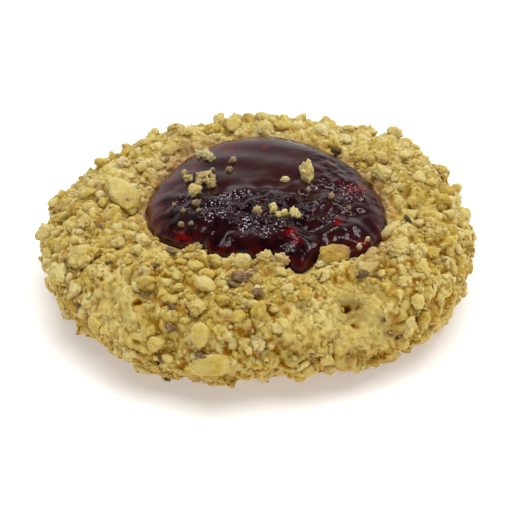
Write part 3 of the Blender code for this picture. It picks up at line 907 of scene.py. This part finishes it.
# bright red where the jam is thin: x, y, reach
redSpots = (
    (4.7, -10.0, 0.9), (5.7, -11.7, 0.8), (-4.0, 12.5, 1.1), (-10.6, -8.4, 1.4), (14.6, -11.2, 1.0),
    (5.2, 7.2, 0.7), (-9.8, 8.7, 1.1), (14.6, 1.2, 1.9), (11.5, -7.6, 0.9), (1.2, 11.9, 0.6),
    (10.5, 6.7, 0.7), (-7.5, -4.1, 0.5),
)

# crushed seeds whose facets catch the lamps, strongly or faintly, and where a few are painted pale as
# glints: x, y, reach
sparkleSpots = (
    (-6.5, -2.8, 0.9), (-4.6, -0.8, 1.0), (-2.4, -0.7, 1.0), (-6.7, -4.0, 0.6), (-6.7, -6.2, 0.8),
    (-4.9, -5.9, 0.7), (-1.7, -7.0, 0.9), (-1.4, -8.3, 0.8), (1.5, -9.4, 1.2), (2.8, -8.5, 0.9),
    (2.9, -7.0, 0.6), (0.2, -4.5, 0.5), (-2.8, -5.1, 0.4), (8.6, 0.4, 0.5),
)
faintSparkles = (
    (-10.7, 0.5, 1.3), (-5.6, -3.6, 2.4), (0.2, -7.6, 2.4), (13.6, -0.4, 2.2), (10.9, -6.1, 0.9),
    (12.7, -3.7, 0.8), (8.9, -4.3, 0.8),
)

# where the jam is fuzzy with fine pulp: x, y, reach
dullSpots = (
    (-9.6, -5.9, 1.7), (-1.2, -10.2, 0.9),
)


def lumpiness(points):
    # the near half and the right end are lumpy, the far half lies in smooth folds
    x, y = points[..., 0] / mm, points[..., 1] / mm
    (nearAt, nearBlend), (rightAt, rightBlend) = jam["lumpyNear"], jam["lumpyRight"]
    leftAt, leftBlend = jam["smoothLeft"]
    near, right = step(nearAt - y - jam["lumpySlant"] * x, nearBlend), step(x - rightAt, rightBlend)
    left = step(leftAt - x, leftBlend)
    return np.clip(np.maximum(near * (1 - 0.4 * right), 0.6 * right) - 0.7 * left, 0, 1)


def spotty(points, spots, sharpness):
    # 1 within the spots, falling to 0 round them
    away = [np.hypot(points[..., 0] / mm - x, points[..., 1] / mm - y) / reach for x, y, reach in spots]
    return np.max([np.exp(-(each**sharpness)) for each in away], axis=0)


def sparkling(points):
    faint = jam["faintSparkle"] * spotty(points, faintSparkles, 4)
    return np.maximum(spotty(points, sparkleSpots, 4), faint)


def makeJamMesh():
    azimuth = np.linspace(0, 2 * pi, jam["azimuths"], endpoint=False)
    shares = np.sin(np.linspace(0, pi / 2, jam["topRings"] + 1)[1:])
    turns = np.linspace(0, pi / 2, jam["underRings"] + 1)[1:-1]
    top = np.stack([jamTop(azimuth, share) for share in shares])
    under = np.stack([hollow(azimuth, turn, inset=jam["gap"]) for turn in turns])
    upward = np.broadcast_to((0.0, 0.0, 1.0), top.shape)
    weight = shares[:, None] * np.gradient(shares)[:, None] * np.ones(len(azimuth))
    # the near slope is calmer
    start, blend, calmed = jam["calmNear"]
    nearSlope = np.clip((aroundJam(top)[1] - start) / blend, 0, 1)
    nearSlope *= np.clip(-top[..., 1] / mm / 3 - 0.7, 0, 1)
    lumpy, crushed, tree = lumpiness(top) * (1 - calmed * nearSlope), sparkling(top), treeOf(top)
    lift, smooth = np.zeros(lumpy.shape), jam["smoothRise"]
    for seed, (*settings, calm) in enumerate(inTheJam.values()):
        height, _ = swallow(top, upward, tree, settings, 40 + seed, weight)
        height -= height.mean()
        proud = np.maximum(calm, jam["crushedRise"] * crushed)
        lift += height * (smooth + (1 - smooth) * lumpy) * proud
    lift += lumpHeight(top, jam["swells"]) * (1 - lumpy)
    lift += lumpHeight(top, *jam["lumps"]) * lumpy
    top[..., 2] += lift * np.clip((1 - shares) / 0.05, 0, 1)[:, None]
    least, uneven = jam["spread"]
    outward = top[-1, :, :2] - np.array(jam["centre"])
    outward /= np.linalg.norm(outward, axis=-1, keepdims=True)
    run = least + np.abs(lumpHeight(top[-1], (jam["raggedEdge"], uneven)))
    top[..., :2] += (shares**12)[:, None, None] * (outward * run[:, None])[None]
    bottom = hollow(0.0, pi / 2, inset=jam["gap"])
    mesh = meshFromRings("jam", np.concatenate([top, under]), jamTop(0.0, 0.0), bottom)
    points = pointsOf(mesh)
    x, y = points[:, 0] / mm, points[:, 1] / mm
    share, lumpy = aroundJam(points)[1], lumpiness(points)
    cloud = np.clip(0.6 + lumpHeight(points, jam["film"]), 0, 1)
    film = np.clip((y - x) / 4 - 2.5, 0, 1) * cloud * np.clip((share - 0.62) / 0.25, 0, 1)
    fields = {
        "red": spotty(points, redSpots, 2),
        "sparkle": sparkling(points),
        "lumpy": lumpy,
        # 1 where the dark body shows, elsewhere the lighter smooth colour with its painted sheen
        "dark": np.maximum(lumpy, np.clip(-x / 4 - 1, 0, 1)),
        "dull": spotty(points, dullSpots, 2),
        "edge": np.clip((share - 0.88) / 0.10, 0, 1),
        "left": np.clip(-x - 11.0, 0, 1),
        "film": film,  # mauve, on the far left
    }
    for name, values in fields.items():
        storeValues(mesh, name, values)
    return mesh


def crumbPlaces():
    scraps = [(x, y, size, size * 0.85, size, 40 * x, tone, glaze)
              for x, y, size, tone, glaze in jamScraps]
    for x, y, *size, turn, tone, glaze in [*jamCrumbs.values(), *scraps]:
        size = [side * mm for side in size]
        spot = Vector((x, y, 0)) * mm
        azimuth, share = aroundJam(np.array(spot))
        spot.z = jamTop(azimuth, min(1.0, share))[2] + size[2] * walnut["proud"]
        yield Matrix.Translation(spot) @ Matrix.Rotation(radians(turn), 4, "Z"), size, tone, glaze


# materials
colours = {
    "palest": (0.78, 0.675, 0.37),
    "pale": (0.71, 0.585, 0.235),
    "yellow": (0.61, 0.445, 0.095),
    "tan": (0.45, 0.300, 0.085),
    "brown": (0.29, 0.16, 0.035),
    "pinkish": (0.56, 0.39, 0.17),
    "speck": (0.16, 0.10, 0.02),
    # painted shade, a deeper yellow on the near side and the shaded far flank
    "warmShade": (0.955, 0.935, 0.79),
    "foot": (0.97, 0.93, 0.87),
    # painted shade in crevices, and darker painted shade in deep hollows
    "creviceShade": (0.37, 0.168, 0.004),
    "deep": (0.13, 0.044, 0.0005),
    "dough": (0.84, 0.735, 0.36),
    "doughDark": (0.69, 0.56, 0.20),
    # painted shade in some hollows
    "oliveShade": (0.33, 0.24, 0.085),
    "stained": (0.42, 0.22, 0.14),
    "glazed": (0.22, 0.15, 0.13),
    "skinDark": (0.08, 0.048, 0.03),
    "skinLight": (0.20, 0.12, 0.045),
    "skinMauve": (0.44, 0.285, 0.15),
    "jam": (0.009, 0.001, 0.002),
    "jamPulp": (0.030, 0.002, 0.003),
    # the smooth far half's colour, lighter and greyer, partly a painted sheen
    "jamSmoothSheen": (0.042, 0.010, 0.011),
    "jamThin": (0.075, 0.003, 0.002),
    "jamAmber": (0.12, 0.022, 0.004),
    "jamRed": (0.20, 0.003, 0.004),
    "jamMauve": (0.15, 0.036, 0.036),
    # pale seed bits, painted as glints
    "jamSeedGlint": (0.88, 0.78, 0.85),
}

crumbLook = {
    # colours by tone, and how far and how strongly the tone drifts
    "stops": ((0.0, "palest"), (0.3, "pale"), (0.62, "yellow"), (0.84, "tan"), (1.0, "brown")),
    "drifts": ((1.2 * mm, 0.85), (5.0 * mm, 0.75)),
    "pinkishDrift": 2.6 * mm,
    "specks": 1.5 * mm,
    "undersideShade": 0.45,  # how strong the golden painted shade on the undersides is
    "grain": (0.40 * mm, 0.22 * mm),
    "roughness": 0.55,
    "specular": 0.06,
    "subsurface": (1.0, 0.95, 0.85),
    "walnutDepth": 0.6 * mm,
    "doughDepth": 1.0 * mm,
}
jamLook = {
    "pulp": 1.8 * mm,
    "facets": 0.28 * mm,  # of the crushed seeds
    "facetTilt": 0.8,
    "roughness": (0.09, 0.3),  # where it is clear, and where it is fuzzy
    "specular": 0.5,
    "grain": (0.30 * mm, 0.2 * mm),
    "grainStrength": (0.02, 0.16),  # where it is smooth, and where it is lumpy
}


class Look(Nodes):
    # a material in the making: its shader, the place on the object, and the colour so far
    def __init__(self, name):
        self.material = bpy.data.materials.new(name)
        self.material.use_nodes = True
        super().__init__(self.material.node_tree)
        self.tree.nodes.clear()
        self.shader = self.add("ShaderNodeBsdfPrincipled")
        self.add("ShaderNodeOutputMaterial", {"Surface": self.shader.outputs[0]})
        self.place = self.add("ShaderNodeTexCoord").outputs["Object"]

    def shade(self, inputs):
        for name, value in inputs.items():
            self.give(self.shader.inputs[name], value)
        return self.material

    def stored(self, name, low=0.0, high=None):
        # what the mesh's corners carry, as it is or from low to high
        value = self.add("ShaderNodeAttribute", attribute_name=name).outputs["Fac"]
        return value if high is None else self.mapRange(value, 0.0, 1.0, low, high)

    def noise(self, across, detail=3.0):
        inputs = {"Vector": self.place, "Scale": 1 / across, "Detail": detail}
        return self.add("ShaderNodeTexNoise", inputs).outputs["Fac"]

    def cells(self, across):
        # distance from the middle of a cell, its colour, and a number of its own
        cells = self.add("ShaderNodeTexVoronoi", {"Vector": self.place, "Scale": 1 / across}).outputs
        own = self.add("ShaderNodeSeparateColor", {"Color": cells["Color"]}).outputs[0]
        return cells["Distance"], cells["Color"], own

    def grain(self, height, deep, strength=1.0):
        inputs = {"Strength": strength, "Distance": deep, "Height": height}
        return self.add("ShaderNodeBump", inputs).outputs[0]

    def ramp(self, value, *stops):
        node = self.add("ShaderNodeValToRGB", {"Fac": value})
        elements = node.color_ramp.elements
        while len(elements) < len(stops):
            elements.new(0.5)
        for element, (position, colour) in zip(elements, stops):
            element.position, element.color = position, (*colours[colour], 1)
        return node.outputs["Color"]

    def mix(self, factor, first, second, blend="MIX"):
        values = [(*colours[value], 1) if isinstance(value, str) else value
                  for value in (factor, first, second)]
        return self.chosen("ShaderNodeMix", values, data_type="RGBA", blend_type=blend)[1]

    def tint(self, factor, colour, blend="MIX"):
        self.colour = self.mix(factor, self.colour, colour, blend)

    def crumbColour(self):
        # cream to yellow by tone, with drifts of orange and pinkish tan, and a few dark specks
        tone = self.stored("tone")
        for across, share in crumbLook["drifts"]:
            drift = self.math("SUBTRACT", self.noise(across), 0.5)
            tone = self.math("MULTIPLY_ADD", drift, share, tone)
        self.colour = self.ramp(tone, *crumbLook["stops"])
        pinkish = self.noise(crumbLook["pinkishDrift"], 2.0)
        self.tint(self.mapRange(pinkish, 0.56, 0.68, 0.0, 0.7), "pinkish")
        away, _, picked = self.cells(crumbLook["specks"])
        few, core = self.mapRange(picked, 0.80, 0.82), self.mapRange(away, 0.16, 0.08)
        self.tint(self.math("MULTIPLY", core, few), "speck")

    def farFlank(self):
        # 1 low down on the far side, on the flank that stands in its own shade
        low = self.mapRange(self.axis(self.place, "Z"), 14.5 * mm, 11 * mm)
        return self.math("MULTIPLY", low, self.mapRange(self.axis(self.place, "Y"), 3 * mm, 12 * mm))

    def paintShade(self, amount, colour):
        # painted shade in crevices tells more on the near flank and the shaded far flank than on the top
        near = self.mapRange(self.axis(self.place, "Y"), 15 * mm, -15 * mm, 0.3, 1.0)
        near = self.math("MAXIMUM", near, self.farFlank())
        self.tint(self.math("MULTIPLY", amount, near), colour)

    def finishCrumb(self, depth):
        # painted shade: undersides turn golden, and the near side, the right and the far flank that
        # stands in its own shade are a deeper yellow than the far left; and the foot is browner
        facing = self.axis(self.add("ShaderNodeNewGeometry").outputs["Normal"], "Z")
        self.tint(self.mapRange(facing, 0.2, -0.7, 0.0, crumbLook["undersideShade"]), "creviceShade")
        x, y, z = (self.axis(self.place, name) for name in "XYZ")
        warm = self.math("MULTIPLY_ADD", x, 0.1, self.math("MULTIPLY", y, -1.0))
        warm = self.mapRange(warm, -20 * mm, 20 * mm)
        self.tint(self.math("MAXIMUM", warm, self.farFlank()), "warmShade", "MULTIPLY")
        self.tint(self.mapRange(z, 9 * mm, 1 * mm), "foot", "MULTIPLY")
        across, deep = crumbLook["grain"]
        return self.shade({
            "Base Color": self.colour,
            "Roughness": crumbLook["roughness"],
            "Specular IOR Level": crumbLook["specular"],
            "Subsurface Weight": 1.0,
            "Subsurface Radius": crumbLook["subsurface"],
            "Subsurface Scale": depth,
            "Normal": self.grain(self.noise(across, 5.0), deep),
        })


def makeWalnutMaterial():
    look = Look("walnut")
    look.crumbColour()
    # painted shade where a piece meets the dough, and in the creases of clustered pieces
    look.paintShade(look.mapRange(look.stored("clear"), 0.35 * mm, -0.05 * mm, 0.0, 0.55), "creviceShade")
    look.paintShade(look.stored("crease", 0.0, 0.55), "creviceShade")
    look.tint(look.stored("stain", 0.0, 0.55), "stained")
    look.tint(look.stored("glaze", 0.0, 0.9), "glazed")
    return look.finishCrumb(crumbLook["walnutDepth"])


def makeSkinMaterial():
    look = Look("walnut skin")
    cloud = look.noise(0.6 * mm, 5.0)
    dark = look.ramp(cloud, (0.40, "skinDark"), (0.62, "skinLight"))
    mauve = look.ramp(cloud, (0.36, "skinLight"), (0.64, "skinMauve"))
    return look.shade({
        "Base Color": look.mix(look.stored("tone"), dark, mauve),
        "Roughness": 0.6,
        "Specular IOR Level": 0.2,
        "Normal": look.grain(cloud, 0.35 * mm),
    })


def makeDoughMaterial():
    look = Look("dough")
    look.crumbColour()
    smooth = look.ramp(look.noise(0.9 * mm, 5.0), (0.38, "doughDark"), (0.62, "dough"))
    look.tint(look.stored("bare", 0.0, 0.6), smooth)
    # olive painted shade in some hollows
    look.tint(look.stored("shade"), "oliveShade")
    gap = look.stored("gap")
    # painted shade in the dough's hollows, darker where they are deep
    look.paintShade(look.mapRange(gap, 0.0, 0.6), "creviceShade")
    look.paintShade(look.mapRange(gap, 0.7, 1.3), "deep")
    look.tint(look.stored("stain", 0.0, 0.75), "stained")
    return look.finishCrumb(crumbLook["doughDepth"])


def makeJamMaterial():
    # dark jelly, red where it is thin
    look = Look("jam")
    body = look.ramp(look.noise(jamLook["pulp"]), (0.42, "jam"), (0.66, "jamPulp"))
    # lighter, greyer smooth colour on the far half, partly a painted sheen; the dark body on the lumpy
    # near half and the far left
    look.colour = look.mix(look.stored("dark"), "jamSmoothSheen", body)
    rim = look.mix(look.stored("left"), "jamThin", "jamAmber")
    cloud = look.mapRange(look.noise(1.2 * mm), 0.42, 0.62)
    look.tint(look.math("MULTIPLY", look.stored("edge"), cloud), rim)
    look.tint(look.stored("film", 0.0, 0.7), "jamMauve")
    shreds = look.mapRange(look.noise(1.0 * mm), 0.44, 0.60)
    look.tint(look.math("MULTIPLY", look.stored("red"), shreds), "jamRed")
    # crushed seeds are small facets that face every way, and a few of them are painted pale as glints
    sparkle = look.stored("sparkle")
    away, facing, picked = look.cells(jamLook["facets"])
    few, core = look.mapRange(picked, 0.66, 0.84), look.mapRange(away, 0.55, 0.35)
    look.tint(look.math("MULTIPLY", sparkle, look.math("MULTIPLY", few, core)), "jamSeedGlint")
    across, deep = jamLook["grain"]
    strength = look.stored("lumpy", *jamLook["grainStrength"])
    normal = look.grain(look.noise(across), deep, strength)
    tilt = look.onVectors("SUBTRACT", {0: facing, 1: (0.5, 0.6, 0.5)})
    share = look.math("MULTIPLY", sparkle, jamLook["facetTilt"])
    tilt = look.onVectors("SCALE", {0: tilt, "Scale": share})
    normal = look.onVectors("ADD", {0: normal, 1: tilt})
    return look.shade({
        "Base Color": look.colour,
        "Roughness": look.stored("dull", *jamLook["roughness"]),
        "Specular IOR Level": jamLook["specular"],
        "Normal": look.onVectors("NORMALIZE", {0: normal}),
    })


walnutFinish, skinFinish = makeWalnutMaterial(), makeSkinMaterial()
doughFinish, jamFinish = makeDoughMaterial(), makeJamMaterial()
print("materials made")

doughMesh = makeDoughMesh()
doughPoints = pointsOf(doughMesh)
lowest, above = coating["fromFoot"]
coat = np.clip((aroundJam(doughPoints)[1] - 1.0) / coating["fromJam"], 0, 1)
coat *= np.clip((doughPoints[:, 2] - lowest) / above, 0, 1)
for keptOff in (bareness(doughPoints), stainOf(doughPoints)):
    coat *= 1 - coating["keptOff"] * keptOff
farSide, lyingThere = coating["farSide"]
coat *= np.where(doughPoints[:, 1] > farSide, lyingThere, 1.0)
clusters = coating["middling"] + lumpHeight(doughPoints, coating["clusters"])
addPiece("dough", doughMesh, doughFinish, "cookie")
doughTree = BVHTree.FromPolygons(doughPoints.tolist(), [p.vertices[:] for p in doughMesh.polygons])


def storeClearance(mesh):
    # how far each corner stands clear of the dough, and how much jam has stained it
    points = pointsOf(mesh)
    storeValues(mesh, "stain", stainOf(points))
    clear = []
    for point in points.tolist():
        near, normal, _, far = doughTree.find_nearest(point)
        clear.append(far if (Vector(point) - near).dot(normal) > 0 else -far)
    storeValues(mesh, "clear", clear)


rng = random.Random(3)
stones = []
for place, size, tone, nodules in nutPlaces():
    stone = chipStone(rng, 3 if tone is None else 4, nodules)
    stones.append((stone, place, size, rng.uniform(*walnut["tones"]) if tone is None else tone, 0.0))
for name, group in (("walnut_chunks", stones[: len(chunks)]), ("walnut_pieces", stones[len(chunks):])):
    mesh = joinStones(name, group)
    storeClearance(mesh)
    addPiece(name, mesh, walnutFinish)

stones = []
for azimuth, along, *size, turn, tone in flakes.values():
    size, azimuth = [side * mm for side in size], radians(azimuth)
    lift = Vector(skinNormal(azimuth, along)) * walnut["flakeLift"]
    place = Matrix.Translation(lift) @ seatOnSkin(azimuth, along, size, radians(turn))
    stones.append((chipStone(rng, 4, 5), place, size, tone, 0.0))
addPiece("walnut_flakes", joinStones("walnut_flakes", stones), skinFinish)

scatterTree = makeScatterTree()
strewn = {  # fineness, nodules, stretch and finish of a scrap, least cover, seed, tree's inputs
    "walnut_scraps": (2, (0, 6), (1.0, 0.85, 0.75), walnutFinish, 0.05, 11,
                      (1.5 * mm, 1.5e6, 0.8 * mm, 1.9 * mm, -0.05, 0.6)),
    "walnut_grains": (1, (0,), (1.0, 0.85, 0.8), walnutFinish, 0.35, 23,
                      (0.64 * mm, 2.5e6, 0.30 * mm, 0.80 * mm, 0.05, 0.8)),
    "walnut_skins": (2, (0,), (1.0, 0.45, 0.18), skinFinish, 0.05, 5,
                     (5.5 * mm, 1e5, 0.7 * mm, 2.2 * mm, 0.1, 0.9)),
}
for name, (fineness, nodules, stretch, finish, least, seed, inputs) in strewn.items():
    storeValues(doughMesh, "coat", coat * np.clip(clusters, least, 1))
    scraps = makeScraps(name + "Shape", fineness, nodules, seed, stretch)
    mesh = strew(name, doughMesh, scatterTree, {
        **dict(zip(scatterInputs, inputs)), "Seed": seed, "Scraps": scraps, "Finish": finish,
    })
    storeClearance(mesh)
    addPiece(name, mesh, finish)
    for item in list(scraps.objects):
        bpy.data.objects.remove(item)
    bpy.data.collections.remove(scraps)

addPiece("jam_mound", makeJamMesh(), jamFinish, "jam")
stones = [(chipStone(rng, 4, 7 if glaze > 0.2 else 5), place, size, tone, glaze)
          for place, size, tone, glaze in crumbPlaces()]
mesh = joinStones("jam_crumbs", stones)
storeValues(mesh, "clear", 1.0 * mm)
storeValues(mesh, "stain", 0.0)
addPiece("jam_crumbs", mesh, walnutFinish)
print("jam made")

# studio
studio = {
    "elevation": 33.0,
    "distance": 350 * mm,
    "aim": (0, 0, 8 * mm),
    "lens": 167.4,
    "shift": (-0.0016, -0.011),
    "world": (0.78, 0.05),  # light near the horizon and overhead
    "worldSides": (0.60, 1.08),  # share of it from the left and from the right
    "softbox": ((0.05, -0.01, 0.69), 0.70, 5.5),  # place, size across, power
    "floorGlow": 0.32,
    "sparkles": (0.045, 0.06, 0.45),  # size across, power and distance of the lamps seen in the jam
    "sparkleWays": ((-50, 64), (-18, 64), (14, 67), (40, 64), (65, 66)),  # azimuth, elevation
}


def addLamp(name, spot, across, power):
    light = bpy.data.lights.new(name, "AREA")
    light.size = across
    light.energy = power
    lamp = addObject(name, light)
    lamp.location = spot
    lamp.rotation_euler = (Vector(studio["aim"]) - Vector(spot)).to_track_quat("-Z", "Y").to_euler()
    return lamp


def makeWorld():
    world = bpy.data.worlds.new("studio")
    world.use_nodes = True
    nodes = Nodes(world.node_tree)
    way = nodes.add("ShaderNodeTexCoord").outputs["Generated"]
    sky = nodes.mapRange(nodes.axis(way, "Z"), 0.25, 0.75, *studio["world"])
    side = nodes.mapRange(nodes.axis(way, "X"), -1.0, 1.0, *studio["worldSides"])
    background = nodes.tree.nodes["Background"].inputs
    nodes.give(background["Strength"], nodes.math("MULTIPLY", sky, side))
    nodes.give(background["Color"], (1, 1, 1, 1))
    return world


def makeStudio():
    scene = bpy.context.scene
    scene.view_settings.view_transform = "Standard"
    scene.world = makeWorld()
    lens = bpy.data.cameras.new("camera")
    lens.lens = studio["lens"]
    lens.sensor_width = 36
    lens.shift_x, lens.shift_y = studio["shift"]
    lens.clip_start = 0.01
    camera = addObject("camera", lens)
    turn = radians(studio["elevation"])
    back = Vector((0, -cos(turn), sin(turn)))
    camera.location = Vector(studio["aim"]) + back * studio["distance"]
    camera.rotation_euler = (pi / 2 - turn, 0, 0)
    scene.camera = camera
    addLamp("softbox", *studio["softbox"]).visible_glossy = False
    across, power, away = studio["sparkles"]
    for azimuth, elevation in studio["sparkleWays"]:
        around, rise = radians(azimuth), radians(elevation)
        way = Vector((sin(around) * cos(rise), cos(around) * cos(rise), sin(rise)))
        addLamp(f"sparkle{azimuth}", way * away, across, power).visible_diffuse = False
    bpy.ops.mesh.primitive_plane_add(size=4.0)
    floor = bpy.context.object
    floor.name = "floor"
    floor.data.materials.append(Look("floor").shade({
        "Base Color": (0.97, 0.97, 0.97, 1),
        "Roughness": 0.9,
        "Emission Color": (1, 1, 1, 1),
        "Emission Strength": studio["floorGlow"],
    }))
    floor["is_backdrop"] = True


makeStudio()
print("studio made")

[[list(corner) for corner in box] for box in (cadBox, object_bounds())]
